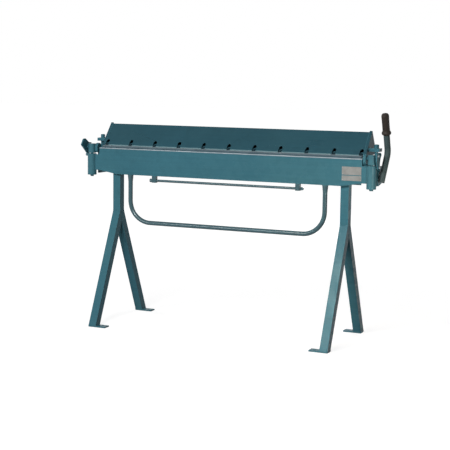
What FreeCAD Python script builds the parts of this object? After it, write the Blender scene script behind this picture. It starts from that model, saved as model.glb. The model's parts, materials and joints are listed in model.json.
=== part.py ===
import FreeCAD, Part
import math
import os
import re
import Sketcher

# Sheet metal brake on two Y legs: a hand folding machine of 1220 mm working width.
# X runs along the fold, Y from the operator to the back, Z up.  The origin is the centre of the four
# floor bolts, at floor level.  All lengths are millimetres.

# Driving sizes: alias, value, what it measures.
SIZES = [
    ("working_width", 1220, "length of the clamping blade, the widest sheet that folds"),
    ("bed_height", 779.5, "height of the bed's top face above the floor"),
    ("bed_depth", 104, "front to back depth of the bed plate"),
    ("bed_thick", 12, "thickness of the bed plate"),
    ("bed_flange", 40, "height of the bed's rear flange"),
    ("bed_flange_thick", 10, "thickness of the rear flange"),
    ("web_thick", 5, "thickness of the front web under the bed"),
    ("web_height", 100, "height of the front web"),
    ("rib_thick", 8, "thickness of a rib under the bed"),
    ("rib_pitch", 200, "distance between the ribs"),
    ("rib_drop", 84, "depth of a rib at the web"),
    ("rib_rear_drop", 34, "depth of a rib at the rear flange"),
    ("rib_toe", 30, "length of a rib's level lower edge at the web"),
    ("shaft_window", 4, "clearance round the cross shaft where it passes a rib"),

    ("tube_size", 36, "side of the square leg tube"),
    ("post_spacing", 1079, "distance between the two posts, centre to centre"),
    ("pivot_ahead", 28.4, "distance of the leaf's pivot in front of the posts' centres"),
    ("splay_height", 496, "height at which the legs leave the post"),
    ("foot_reach", 237.3, "outer face of a foot from the post's centre at the floor"),
    ("foot_length", 82, "length of a foot plate"),
    ("foot_thick", 6, "thickness of a foot plate"),
    ("foot_hole", 11, "diameter of the floor bolt hole"),
    ("foot_hole_inset", 20, "centre of that hole from the foot plate's end"),

    ("end_plate_thick", 12, "thickness of the plate at each end of the bed"),
    ("end_plate_depth", 122, "front to back depth of the end plate"),
    ("end_plate_height", 98, "height of the end plate"),
    ("end_plate_cut", 34, "cut-off at the end plate's lower corners"),

    ("lug_thick", 12, "thickness of the hinge lug"),
    ("lug_radius", 18, "radius of the lug's nose round the pivot"),
    ("lug_reach", 72, "length of the lug behind the pivot"),
    ("lug_drop", 34, "depth of the lug's tail under the bed's top face"),
    ("lug_skirt", 24.5, "depth of the lug's nose under the bed's top face"),
    ("lug_corner", 8, "cut-off at the nose's lower corner"),
    ("pin_radius", 8, "radius of the pivot pin"),
    ("pin_fit", 0.05, "radial clearance of the pivot pin in what turns on it"),
    ("shaft_radius", 12.5, "radius of the cross shaft"),
    ("shaft_fit", 0.05, "radial clearance of the cross shaft in the end plates"),
    ("shaft_back", 61.6, "distance of the cross shaft behind the posts' centres"),
    ("shaft_drop", 74.5, "depth of the cross shaft under the bed's top face"),

    ("leaf_over", 8, "how far the bending leaf runs past the blade at each end"),
    ("leaf_thick", 10, "thickness of the leaf"),
    ("leaf_depth", 118.5, "depth of the leaf's lower edge under the bed's top face"),
    ("leaf_setdown", 2, "drop of the leaf's edge under the bed's top face"),
    ("leaf_taper_run", 88, "length of the taper at the leaf's lower corners"),
    ("strip_height", 4.5, "height of the bare strip on the leaf's edge"),
    ("tab_drop", 33.5, "top of the tab that carries the adjuster sleeve, under the bed's top face"),
    ("tab_height", 70, "height of that tab"),
    ("sleeve_head", 3.5, "how far the sleeve stands above the tab"),

    ("sleeve_out", 48, "centre of the adjuster sleeve outside the end of the blade"),
    ("sleeve_radius", 20, "radius of the adjuster sleeve"),
    ("knuckle_radius", 17, "radius of the knuckle"),
    ("sleeve_tail", 22.3, "length of the adjuster sleeve under the tab"),
    ("sleeve_bore", 7, "radius of the sleeve's bore"),
    ("knuckle_gap", 3, "gap between sleeve and knuckle, the height adjustment"),
    ("knuckle_rise", 14.1, "top of the knuckle above the bed's top face"),
    ("screw_radius", 6.5, "radius of the adjusting screw"),
    ("screw_head", 7, "height of the adjusting screw's head"),
    ("screw_flats", 15, "width of the head across its flats"),

    ("pivot_plate_gap", 3, "gap between the sleeve and the pivot plate"),
    ("pivot_plate_thick", 6, "thickness of the pivot plate"),
    ("pin_proud", 6, "how far the left pivot pin stands out of its plate"),

    ("bar_x", 459.5, "centre of an upright of the pull bar from the middle"),
    ("bar_radius", 10, "radius of the pull bar"),
    ("bar_drop", 328.5, "depth of the pull bar's lower run under the bed's top face, at its centre"),
    ("bar_bend", 98, "bending radius of the pull bar, at its centre"),
    ("collar_length", 31, "length of the collar at the top of the pull bar"),
    ("collar_top", 13, "radius of that collar at the leaf"),

    ("bracket_x", 339, "centre of a stop bracket from the middle"),
    ("bracket_width", 20, "width of a stop bracket"),
    ("bracket_thick", 16, "front to back thickness of a stop bracket"),
    ("bracket_drop", 9, "depth of a stop bracket under the stop rod's centre"),
    ("rod_radius", 5.5, "radius of the stop rod"),
    ("rod_drop", 20, "depth of the stop rod's centre under the leaf's lower edge"),
    ("rod_head_radius", 8, "radius of the head on the stop rod's left end"),
    ("rod_head_length", 11.5, "length of that head"),
    ("rod_right_over", 12, "right end of the stop rod past its bracket's centre"),
    ("eye_radius", 7, "radius of the flattened eye on the stop rod's right end"),
    ("eye_thick", 7, "thickness of that eye"),

    ("blade_thick", 7, "thickness of the clamping blade"),
    ("blade_depth", 120, "front to back depth of the clamping blade"),
    ("blade_seat", 0.3, "gap between the closed blade and the bed"),
    ("front_foot_back", 26.5, "foot of the clamp's sloping plate behind the pivot"),
    ("front_lip", 3.8, "height of the upright lip at that foot"),
    ("ridge_back", 102.5, "ridge of the clamp behind the pivot"),
    ("ridge_rise", 102.5, "height of the ridge above the bed's top face"),
    ("slope_thick", 8, "thickness of the sloping plate"),
    ("rear_foot_back", 146, "foot of the clamp's rear plate behind the pivot"),
    ("rear_thick", 6, "thickness of the rear plate"),
    ("rear_upright", 20, "height of the rear plate's upright part above the base bar"),
    ("rear_upright_in", 18, "the same on the rear plate's inner face"),
    ("ridge_butt", 4, "width of the rear plate's edge where it meets the sloping plate"),
    ("base_thick", 12, "thickness of the clamp's base bar"),
    ("base_gap", 0.2, "gap of the base bar to the sloping plate, filled by the weld"),
    ("notch_count", 11, "number of bolt notches"),
    ("notch_pitch", 120, "distance between the bolt notches"),
    ("notch_width", 16, "width of a bolt notch"),
    ("notch_rise", 33.2, "top of a bolt notch above the bed's top face"),
    ("gusset_thick", 12, "thickness of the clamp's end gusset"),
    ("gusset_proud", 1, "how far the gusset stands in front of the sloping plate"),
    ("gusset_over", 5, "height of the gusset's tip above the ridge"),
    ("gusset_rear", 24, "height of the gusset's rear corner above the base bar"),

    ("ear_length", 46, "length of the clamp's ear outside the gusset"),
    ("ear_back", 78, "centre of the ear behind the pivot"),
    ("ear_width", 40, "front to back width of the ear"),
    ("ear_rise", 23.5, "underside of the ear above the bed's top face"),
    ("ear_thick", 14, "thickness of the ear"),
    ("strap_out", 36, "inner face of the pull strap outside the end of the blade"),
    ("strap_thick", 8, "thickness of the pull strap"),
    ("strap_width", 24, "front to back width of the pull strap"),
    ("yoke_front", 38.6, "front edge of the strap's lower yoke before the ear's centre"),
    ("yoke_back", 17, "back edge of the yoke behind the ear's centre"),
    ("yoke_rise", 26, "top of the yoke above the crank pin"),
    ("yoke_drop", 34, "bottom of the yoke below the crank pin"),
    ("rod_bolt_radius", 6, "radius of the strap's bolt through the ear"),
    ("rod_bolt_fit", 0.3, "radial clearance of that bolt in the ear"),
    ("nut_height", 15, "height of the nut on that bolt"),
    ("nut_flats", 19, "width of the nut across its flats"),

    ("crank_out", 24, "inner face of the crank disc outside the end of the blade"),
    ("crank_thick", 7, "thickness of the crank disc"),
    ("crank_radius", 26, "radius of the crank disc"),
    ("crank_pin_radius", 7, "radius of the crank pin"),
    ("crank_pin_y", -8.6, "crank pin from the cross shaft, front to back, lever closed"),
    ("crank_pin_z", -12.3, "crank pin from the cross shaft, up, lever closed"),
    ("pin_over", 5, "how far the left crank pin stands out past its strap"),
    ("slot_play", 2.2, "play of the crank pin in the strap's slot, up and down"),
    ("slot_half", 14, "half length of the strap's slot"),

    ("lever_out", 54, "inner face of the lever plate outside the end of the blade"),
    ("lever_thick", 10, "thickness of the lever plate"),
    ("tube_radius", 13, "radius of the lever tube"),
    ("lever_foot_back", 38, "lower end of the lever tube behind the pivot"),
    ("lever_foot_drop", 99.5, "lower end of the lever tube under the bed's top face"),
    ("lever_bend_out", 27, "the lever's bend and grip outside the lever plate's outer face"),
    ("lever_bend_back", 71, "the lever's bend behind the pivot"),
    ("lever_bend_rise", 22.5, "the lever's bend above the bed's top face"),
    ("lever_tip_back", 14.5, "the lever's tip behind the pivot"),
    ("lever_tip_rise", 183, "the lever's tip above the bed's top face"),
    ("lever_bend_radius", 60, "bending radius of the lever tube"),
    ("grip_radius", 16, "radius of the lever's grip"),
    ("grip_length", 90, "length of the grip"),
    ("grip_collar_radius", 19.5, "radius of the grip's collar"),
    ("grip_collar_length", 14, "length of that collar"),
]

# Places worked out from the driving sizes, as formulas of the sheet.
PLACES = {
    "half_width": "working_width / 2",
    "end_inner": "half_width + 1",
    "end_outer": "end_inner + end_plate_thick",
    "lug_outer": "end_outer + lug_thick",
    "bed_under": "bed_height - bed_thick",
    "post_front": "-tube_size / 2",
    "post_back": "tube_size / 2",
    "pivot_y": "-pivot_ahead",
    "shaft_y": "shaft_back",
    "shaft_z": "bed_height - shaft_drop",
    "front_foot_y": "pivot_y + front_foot_back",
    "ridge_y": "pivot_y + ridge_back",
    "rear_foot_y": "pivot_y + rear_foot_back",
    "ear_y": "pivot_y + ear_back",
    "bed_front": "post_front - web_thick",
    "bed_back": "bed_front + bed_depth",
    "web_bottom": "bed_height - bed_thick - web_height",
    "post_inner": "post_spacing / 2 - tube_size / 2",
    "post_outer": "post_spacing / 2 + tube_size / 2",
    "splay_run": "foot_reach - tube_size / 2",
    "splay_length": "sqrt(splay_run ^ 2 + splay_height ^ 2)",
    "cut_depth": "tube_size * splay_length / splay_height",
    "crotch_z": "splay_height - (cut_depth - tube_size / 2) * splay_height / splay_run",
    "foot_shift": "splay_run * (splay_height - foot_thick) / splay_height",
    "leaf_front": "pivot_y - leaf_thick",
    "leaf_y": "pivot_y - leaf_thick / 2",
    "leaf_half": "half_width + leaf_over",
    "leaf_bottom": "bed_height - leaf_depth",
    "leaf_top": "bed_height - leaf_setdown",
    "strip_bottom": "leaf_top - strip_height",
    "tab_top": "bed_height - tab_drop",
    "tab_bottom": "tab_top - tab_height",
    "sleeve_x": "half_width + sleeve_out",
    "sleeve_bottom": "tab_bottom - sleeve_tail",
    "sleeve_top": "tab_top + sleeve_head",
    "knuckle_bottom": "sleeve_top + knuckle_gap",
    "knuckle_top": "bed_height + knuckle_rise",
    "bar_bottom": "bed_height - bar_drop",
    "rod_z": "leaf_bottom - rod_drop",
    "rod_left_end": "bracket_x + bracket_width / 2 + rod_head_length",
    "rod_right_end": "bracket_x + rod_right_over",
    "blade_under": "bed_height + blade_seat",
    "blade_top": "blade_under + blade_thick",
    "ridge_z": "bed_height + ridge_rise",
    "slope_run": "ridge_y - front_foot_y",
    "slope_foot_z": "blade_top + front_lip",
    "slope_rise": "ridge_z - slope_foot_z",
    "slope_length": "sqrt(slope_run ^ 2 + slope_rise ^ 2)",
    "slope_cos": "slope_run / slope_length",
    "slope_sin": "slope_rise / slope_length",
    "ridge_in_y": "ridge_y + slope_thick * slope_sin",
    "ridge_in_z": "ridge_z - slope_thick * slope_cos",
    "foot_in_y": "ridge_in_y - (ridge_in_z - blade_top) * slope_cos / slope_sin",
    "base_top": "blade_top + base_thick",
    "notch_top": "bed_height + notch_rise",
    "gusset_tip": "ridge_z + gusset_over",
    "ear_end": "half_width + gusset_thick + ear_length",
    "ear_bottom": "bed_height + ear_rise",
    "ear_top": "ear_bottom + ear_thick",
    "strap_inner": "half_width + strap_out",
    "strap_outer": "strap_inner + strap_thick",
    "strap_x": "strap_inner + strap_thick / 2",
    "crank_y": "shaft_y + crank_pin_y",
    "crank_z": "shaft_z + crank_pin_z",
    "crank_inner": "half_width + crank_out",
    "lever_inner": "half_width + lever_out",
    "lever_outer": "lever_inner + lever_thick",
    "lever_bend_x": "lever_outer + lever_bend_out",
}

# Outlines of the pivot plates: corners as (back, up) from the pivot.  The left one reaches further forward.
PIVOT_PLATES = {
    "left": [(-39, 35), (-23, 37), (5, 19.5), (30, 16.5), (14, 5), (10, -31), (6, -43), (-8, -42),
             (-9, -28.5), (-56, 10)],
    "right": [(-29, 20), (-24, 24), (14, 24), (27, 20), (30, 13), (18, 0), (13, -12), (10, -31), (6, -43),
              (-8, -42), (-16, -28), (-29, -12)],
}
# Outline of the lever plate: corners as (back, up) from the cross shaft.
LEVER_PLATE = [(-65, -20), (-46, -42), (30, -24), (22, 30), (-10, 40), (-40, 40)]

SIDES = {"left": -1, "right": 1}

doc = FreeCAD.newDocument("SheetMetalBrake")
sheet = doc.addObject("Spreadsheet::Sheet", "Sizes")
pieces = []


def fill_sheet():
    """Writes each driving size into its own named cell."""
    for row, (alias, number, meaning) in enumerate(SIZES, start=1):
        sheet.set(f"A{row}", alias)
        sheet.set(f"B{row}", str(number))
        sheet.set(f"C{row}", meaning)
        sheet.setAlias(f"B{row}", alias)
    doc.recompute()


ALIASES = {alias for alias, number, meaning in SIZES}


def formula(text):
    """Spells out a formula: places become their own formulas, sizes become cells of the sheet."""
    def spell(match):
        word = match.group()
        if word in ALIASES:
            return "Sizes." + word
        if word in PLACES:
            return "(" + formula(PLACES[word]) + ")"
        return word
    return re.sub(r"[a-z][a-z_]*", spell, str(text))


def size_of(text):
    """The present value of a formula, in millimetres."""
    return float(sheet.evalExpression(formula(text)))


def point(x, y, z):
    """A point given by three formulas."""
    return FreeCAD.Vector(size_of(x), size_of(y), size_of(z))


def bind(obj, **properties):
    """Ties properties to formulas; a double underscore stands for a dot in a property's path."""
    for name, text in properties.items():
        obj.setExpression(name.replace("__", "."), formula(text))


def place(obj, x=0, y=0, z=0):
    """Ties an object's position to formulas."""
    bind(obj, Placement__Base__x=x, Placement__Base__y=y, Placement__Base__z=z)


def turn(obj, axis, degrees):
    """Turns an object about an axis through its own origin."""
    obj.Placement = FreeCAD.Placement(obj.Placement.Base, FreeCAD.Rotation(axis, degrees))


def keep(obj):
    """Marks an object as a finished piece that is written out."""
    pieces.append(obj)
    return obj


def span(sign, inner, outer):
    """Low and high X of a piece that lies between two distances from the middle."""
    if sign > 0:
        return inner, outer
    return f"-({outer})", f"-({inner})"


def plane_of(body, role):
    """The body's own origin plane with that role."""
    return [item for item in body.Origin.OriginFeatures if item.Role == role][0]


def new_sketch(body, name, role):
    """A sketch on one of the body's origin planes."""
    sketch = body.newObject("Sketcher::SketchObject", name)
    sketch.AttachmentSupport = [(plane_of(body, role), "")]
    sketch.MapMode = "FlatFace"
    return sketch


def tie_point(sketch, geometry, vertex, across, up):
    """Ties one point of a sketch to two formulas, measured from the sketch's origin."""
    for kind, text in (("DistanceX", across), ("DistanceY", up)):
        distance = size_of(text)
        number = sketch.addConstraint(Sketcher.Constraint(kind, -1, 1, geometry, vertex, distance))
        sketch.setExpression(f"Constraints[{number}]", formula(text))


def draw_polygon(sketch, corners):
    """A closed outline of straight edges through corners given as pairs of formulas."""
    points = [FreeCAD.Vector(size_of(across), size_of(up), 0) for across, up in corners]
    first = sketch.GeometryCount
    count = len(points)
    for index in range(count):
        sketch.addGeometry(Part.LineSegment(points[index], points[(index + 1) % count]))
    for index in range(count):
        following = first + (index + 1) % count
        sketch.addConstraint(Sketcher.Constraint("Coincident", first + index, 2, following, 1))
    for index, (across, up) in enumerate(corners):
        tie_point(sketch, first + index, 1, across, up)


def draw_circle(sketch, across, up, radius):
    """A circle whose centre and radius are formulas."""
    centre = FreeCAD.Vector(size_of(across), size_of(up), 0)
    circle = sketch.addGeometry(Part.Circle(centre, FreeCAD.Vector(0, 0, 1), size_of(radius)))
    tie_point(sketch, circle, 3, across, up)
    number = sketch.addConstraint(Sketcher.Constraint("Radius", circle, size_of(radius)))
    sketch.setExpression(f"Constraints[{number}]", formula(radius))


def pad_on(body, sketch, length, name="pad"):
    """Thickens a sketch along its normal."""
    pad = body.newObject("PartDesign::Pad", name)
    pad.Profile = sketch
    bind(pad, Length=length)
    doc.recompute()
    return pad


def cut_through(body, sketch, name="cut"):
    """Cuts a sketch through the whole solid, which lies on the side of the sketch's normal."""
    before = body.Shape.Volume
    pocket = body.newObject("PartDesign::Pocket", name)
    pocket.Profile = sketch
    pocket.Type = "ThroughAll"
    pocket.Reversed = True
    doc.recompute()
    if body.Shape.Volume >= before:
        raise RuntimeError(f"{body.Label}: {name} removes nothing")
    return pocket


def side_plate(label, low, high, corners, holes=()):
    """A flat plate across X: outline in Y and Z, round holes as (y, z, radius)."""
    body = doc.addObject("PartDesign::Body", label)
    place(body, x=low)
    sketch = new_sketch(body, "outline", "YZ_Plane")
    draw_polygon(sketch, corners)
    pad_on(body, sketch, f"({high}) - ({low})")
    if holes:
        bores = new_sketch(body, "bores", "YZ_Plane")
        for across, up, radius in holes:
            draw_circle(bores, across, up, radius)
        cut_through(body, bores, "bore_cut")
    return keep(body)


def front_plate(label, front, back, corners):
    """A flat plate across Y: outline in X and Z."""
    body = doc.addObject("PartDesign::Body", label)
    place(body, y=back)
    sketch = new_sketch(body, "outline", "XZ_Plane")
    draw_polygon(sketch, corners)
    pad_on(body, sketch, f"({back}) - ({front})")
    return keep(body)


def block(label, x, y, z):
    """A rectangular bar between pairs of formulas along each axis."""
    box = doc.addObject("Part::Box", label)
    bind(box, Length=f"({x[1]}) - ({x[0]})", Width=f"({y[1]}) - ({y[0]})", Height=f"({z[1]}) - ({z[0]})")
    place(box, x[0], y[0], z[0])
    return box


def upright_rod(label, radius, bottom, top, x, y):
    """A round rod along Z."""
    rod = doc.addObject("Part::Cylinder", label)
    bind(rod, Radius=radius, Height=f"({top}) - ({bottom})")
    place(rod, x, y, bottom)
    return rod


def cross_rod(label, radius, low, high, y, z):
    """A round rod along X."""
    rod = doc.addObject("Part::Cylinder", label)
    turn(rod, FreeCAD.Vector(0, 1, 0), 90)
    bind(rod, Radius=radius, Height=f"({high}) - ({low})")
    place(rod, low, y, z)
    return rod


def cut(label, base, tool):
    """What is left of base once tool is taken away."""
    result = doc.addObject("Part::Cut", label)
    result.Base = base
    result.Tool = tool
    return result


def fuse(label, members):
    """One solid made of members that touch."""
    result = doc.addObject("Part::MultiFuse", label)
    result.Shapes = members
    return result


def hexagon(label, flats, bottom, top, x, y):
    """A hexagonal head or nut along Z."""
    prism = doc.addObject("Part::Prism", label)
    prism.Polygon = 6
    bind(prism, Circumradius=f"({flats}) / sqrt(3)", Height=f"({top}) - ({bottom})")
    place(prism, x, y, bottom)
    return prism


def make_leg_frame(side, sign):
    """One Y leg: post, two splayed legs and two foot plates, all of square tube and flat bar."""
    low, high = span(sign, "post_inner", "post_outer")
    keep(block(f"post_{side}", (low, high), ("post_front", "post_back"), ("splay_height", "bed_under")))
    for where, way in (("front", -1), ("rear", 1)):
        corners = [
            (f"{way} * tube_size / 2", "splay_height"),
            (f"{way} * (tube_size / 2 + foot_shift)", "foot_thick"),
            (f"{way} * (tube_size / 2 + foot_shift - cut_depth)", "foot_thick"),
            ("0", "crotch_z"),
            ("0", "splay_height"),
        ]
        side_plate(f"{where}_leg_{side}", low, high, corners)
        make_foot(side, sign, where, way)


def make_foot(side, sign, where, way):
    """A foot plate under a leg, running inward from the leg's outer face, with its floor bolt hole."""
    low, high = span(sign, "post_outer - foot_length", "post_outer")
    outer = f"{way} * (tube_size / 2 + foot_shift)"
    inner = f"{way} * (tube_size / 2 + foot_shift - cut_depth)"
    front, back = (outer, inner) if way < 0 else (inner, outer)
    plate = block(f"{where}_foot_{side}_plate", (low, high), (front, back), ("0", "foot_thick"))
    hole_x = f"{sign} * (post_outer - foot_length + foot_hole_inset)"
    hole = upright_rod(f"{where}_foot_{side}_hole", "foot_hole / 2", "-1", "foot_thick + 1",
                       hole_x, f"(({front}) + ({back})) / 2")
    keep(cut(f"{where}_foot_{side}", plate, hole))


def make_bed():
    """The bed: top plate with its rear flange, front web, and ribs bored for the cross shaft."""
    side_plate("bed_plate", "-end_inner", "end_inner", [
        ("bed_front", "bed_height"),
        ("bed_front", "bed_under"),
        ("bed_back - bed_flange_thick", "bed_under"),
        ("bed_back - bed_flange_thick", "bed_under - bed_flange"),
        ("bed_back", "bed_under - bed_flange"),
        ("bed_back", "bed_height"),
    ])
    keep(block("bed_web", ("-end_inner", "end_inner"), ("bed_front", "post_front"),
               ("web_bottom", "bed_under")))
    make_ribs()


def make_ribs():
    """Five ribs between web and rear flange, each with a window for the cross shaft."""
    ribs = []
    for number in range(-2, 3):
        low = f"{number} * rib_pitch - rib_thick / 2"
        body = side_plate(f"rib_{number + 3}", low, f"({low}) + rib_thick", [
            ("post_front", "bed_under"),
            ("post_front", "bed_under - rib_drop"),
            ("post_front + rib_toe", "bed_under - rib_drop"),
            ("bed_back - bed_flange_thick", "bed_under - rib_rear_drop"),
            ("bed_back - bed_flange_thick", "bed_under"),
        ])
        pieces.remove(body)
        ribs.append(body)
    shaft_room = cross_rod("rib_window", "shaft_radius + shaft_window", "-end_inner", "end_inner",
                           "shaft_y", "shaft_z")
    keep(cut("bed_ribs", fuse("rib_set", ribs), shaft_room))


def make_end(side, sign):
    """The bed's end plate, and the hinge lug outside it that holds the pivot pin."""
    low, high = span(sign, "end_inner", "end_outer")
    bottom = "bed_height - end_plate_height"
    back = "bed_front + end_plate_depth"
    side_plate(f"end_plate_{side}", low, high, [
        ("bed_front", "bed_height"),
        ("bed_front", f"{bottom} + end_plate_cut / 2"),
        ("bed_front + end_plate_cut / 2", bottom),
        (f"{back} - end_plate_cut", bottom),
        (back, f"{bottom} + end_plate_cut"),
        (back, "bed_height"),
    ], [("shaft_y", "shaft_z", "shaft_radius + shaft_fit")])
    make_lug(side, sign)
    make_pivot_plate(side, sign)


def make_lug(side, sign):
    """The hinge lug: a round nose about the pivot and a tail on the end plate."""
    low, high = span(sign, "end_outer", "lug_outer")
    nose = cross_rod(f"lug_nose_{side}", "lug_radius", low, high, "pivot_y", "bed_height")
    tail = side_plate(f"lug_tail_{side}", low, high, [
        ("pivot_y - lug_radius", "bed_height"),
        ("pivot_y - lug_radius", "bed_height - lug_skirt + lug_corner"),
        ("pivot_y - lug_radius + lug_corner", "bed_height - lug_skirt"),
        ("bed_front", "bed_height - lug_skirt"),
        ("bed_front", "bed_height - lug_drop"),
        ("pivot_y + lug_reach", "bed_height - lug_drop"),
        ("pivot_y + lug_reach", "bed_height"),
    ])
    pieces.remove(tail)
    bore = cross_rod(f"lug_bore_{side}", "pin_radius", low, high, "pivot_y", "bed_height")
    keep(cut(f"hinge_lug_{side}", fuse(f"lug_form_{side}", [nose, tail]), bore))


def make_pivot_plate(side, sign):
    """The pivot pin, pressed into the lug, with the kite-shaped plate on its outer end."""
    inner = "sleeve_x + sleeve_radius + pivot_plate_gap"
    low, high = span(sign, inner, f"{inner} + pivot_plate_thick")
    corners = [(f"pivot_y + ({back})", f"bed_height + ({up})") for back, up in PIVOT_PLATES[side]]
    plate = side_plate(f"kite_{side}", low, high, corners)
    pieces.remove(plate)
    reach = inner if sign > 0 else f"{inner} + pivot_plate_thick + pin_proud"
    low, high = span(sign, "end_outer", reach)
    pin = cross_rod(f"hinge_pin_{side}", "pin_radius", low, high, "pivot_y", "bed_height")
    keep(fuse(f"pivot_plate_{side}", [pin, plate]))


def make_clamp():
    """The clamp beam: blade, base bar, sloping front plate with bolt notches, and rear plate."""
    side_plate("clamp_blade", "-half_width", "half_width", [
        ("pivot_y", "blade_under"),
        ("pivot_y + blade_depth", "blade_under"),
        ("pivot_y + blade_depth", "blade_top"),
        ("pivot_y + blade_thick", "blade_top"),
    ])
    front = side_plate("clamp_front_plate", "-half_width", "half_width", [
        ("front_foot_y", "blade_top"),
        ("front_foot_y", "slope_foot_z"),
        ("ridge_y", "ridge_z"),
        ("ridge_in_y", "ridge_in_z"),
        ("foot_in_y", "blade_top"),
    ])
    cut_notches(front)
    keep(block("clamp_base_bar", ("-half_width", "half_width"),
               ("foot_in_y + base_thick * slope_cos / slope_sin + base_gap", "rear_foot_y - rear_thick"),
               ("blade_top", "base_top")))
    side_plate("clamp_rear_plate", "-half_width", "half_width", [
        ("ridge_in_y", "ridge_in_z"),
        ("rear_foot_y", "base_top + rear_upright"),
        ("rear_foot_y", "blade_top"),
        ("rear_foot_y - rear_thick", "blade_top"),
        ("rear_foot_y - rear_thick", "base_top + rear_upright_in"),
        ("ridge_in_y - ridge_butt * slope_cos", "ridge_in_z - ridge_butt * slope_sin"),
    ])
    for side, sign in SIDES.items():
        make_clamp_end(side, sign)


def cut_notches(body):
    """A row of notches across the foot of the sloping plate, open at the bottom and round at the top."""
    first = "half_width - notch_pitch * (notch_count - 1) / 2"
    sides = new_sketch(body, "notch_sides", "XZ_Plane")
    draw_polygon(sides, [
        (f"{first} - notch_width / 2", "blade_top - 1"),
        (f"{first} + notch_width / 2", "blade_top - 1"),
        (f"{first} + notch_width / 2", "notch_top - notch_width / 2"),
        (f"{first} - notch_width / 2", "notch_top - notch_width / 2"),
    ])
    crown = new_sketch(body, "notch_crown", "XZ_Plane")
    draw_circle(crown, first, "notch_top - notch_width / 2", "notch_width / 2")
    for sketch in (sides, crown):
        sketch.setExpression("AttachmentOffset.Base.z", formula("-rear_foot_y"))
    cuts = [cut_through(body, sides, "notch_sides_cut"), cut_through(body, crown, "notch_crown_cut")]
    pattern = body.newObject("PartDesign::LinearPattern", "notch_row")
    pattern.Originals = cuts
    pattern.Direction = (plane_of(body, "X_Axis"), [""])
    bind(pattern, Length="notch_pitch * (notch_count - 1)", Occurrences="notch_count")
    body.Tip = pattern
    doc.recompute()


def make_clamp_end(side, sign):
    """Gusset, ear and pull strap at one end of the clamp."""
    low, high = span(sign, "half_width", "half_width + gusset_thick")
    proud_y = "gusset_proud * slope_sin"
    proud_z = "gusset_proud * slope_cos"
    tip_run = f"(gusset_tip - ridge_z - {proud_z}) * slope_cos / slope_sin"
    side_plate(f"gusset_{side}", low, high, [
        (f"front_foot_y - {proud_y}", "blade_top"),
        (f"front_foot_y - {proud_y}", f"slope_foot_z + {proud_z}"),
        (f"ridge_y - {proud_y} + {tip_run}", "gusset_tip"),
        ("rear_foot_y", "base_top + gusset_rear"),
        ("rear_foot_y", "blade_top"),
    ])
    make_ear(side, sign)


def make_ear(side, sign):
    """The ear on the gusset's outer face, and the strap that hangs from its bolt."""
    low, high = span(sign, "half_width + gusset_thick", "ear_end")
    ear = block(f"ear_bar_{side}", (low, high), ("ear_y - ear_width / 2", "ear_y + ear_width / 2"),
                ("ear_bottom", "ear_top"))
    bolt_x = f"{sign} * strap_x"
    hole = upright_rod(f"ear_hole_{side}", "rod_bolt_radius + rod_bolt_fit", "ear_bottom - 1", "ear_top + 1",
                       bolt_x, "ear_y")
    keep(cut(f"ear_{side}", ear, hole))
    low, high = span(sign, "strap_inner", "strap_outer")
    strap = side_plate(f"strap_bar_{side}", low, high, [
        ("ear_y - strap_width / 2", "ear_bottom"),
        ("ear_y - strap_width / 2", "crank_z + yoke_rise"),
        ("ear_y - yoke_front", "crank_z + yoke_rise - strap_width / 2"),
        ("ear_y - yoke_front", "crank_z - yoke_drop"),
        ("ear_y + yoke_back", "crank_z - yoke_drop"),
        ("ear_y + yoke_back", "crank_z + yoke_rise"),
        ("ear_y + strap_width / 2", "crank_z + yoke_rise"),
        ("ear_y + strap_width / 2", "ear_bottom"),
    ])
    pieces.remove(strap)
    slot = block(f"strap_slot_{side}", (low, high), ("ear_y - slot_half + 1", "ear_y + slot_half - 1"),
                 ("crank_z - crank_pin_radius - slot_play", "crank_z + crank_pin_radius + slot_play"))
    bolt = upright_rod(f"strap_bolt_{side}", "rod_bolt_radius", "ear_bottom", "ear_top + nut_height + 1",
                       bolt_x, "ear_y")
    nut = hexagon(f"strap_nut_{side}", "nut_flats", "ear_top", "ear_top + nut_height", bolt_x, "ear_y")
    keep(fuse(f"pull_strap_{side}", [cut(f"strap_{side}", strap, slot), bolt, nut]))


def make_leaf():
    """The bending leaf with its bare edge strip; a sleeve is welded to the tab at each of its ends."""
    corners = [
        ("-leaf_half", "strip_bottom"),
        ("-leaf_half", "tab_top"),
        ("-sleeve_x", "tab_top"),
        ("-sleeve_x", "tab_bottom"),
        ("-leaf_half", "tab_bottom"),
        ("-leaf_half + leaf_taper_run", "leaf_bottom"),
        ("leaf_half - leaf_taper_run", "leaf_bottom"),
        ("leaf_half", "tab_bottom"),
        ("sleeve_x", "tab_bottom"),
        ("sleeve_x", "tab_top"),
        ("leaf_half", "tab_top"),
        ("leaf_half", "strip_bottom"),
    ]
    blank = front_plate("leaf_blank", "leaf_front", "pivot_y", corners)
    pieces.remove(blank)
    sleeves = []
    bores = []
    for side, sign in SIDES.items():
        x = f"{sign} * sleeve_x"
        sleeves.append(upright_rod(f"sleeve_{side}", "sleeve_radius", "sleeve_bottom", "sleeve_top",
                                   x, "leaf_y"))
        bores.append(upright_rod(f"sleeve_bore_{side}", "sleeve_bore", "sleeve_bottom - 1", "sleeve_top + 1",
                                 x, "leaf_y"))
    keep(cut("leaf_plate", fuse("leaf_form", [blank] + sleeves), fuse("sleeve_bores", bores)))
    keep(block("leaf_edge_strip", ("-leaf_half", "leaf_half"), ("leaf_front", "pivot_y"),
               ("strip_bottom", "leaf_top")))
    for side, sign in SIDES.items():
        make_knuckle(side, sign)


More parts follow.
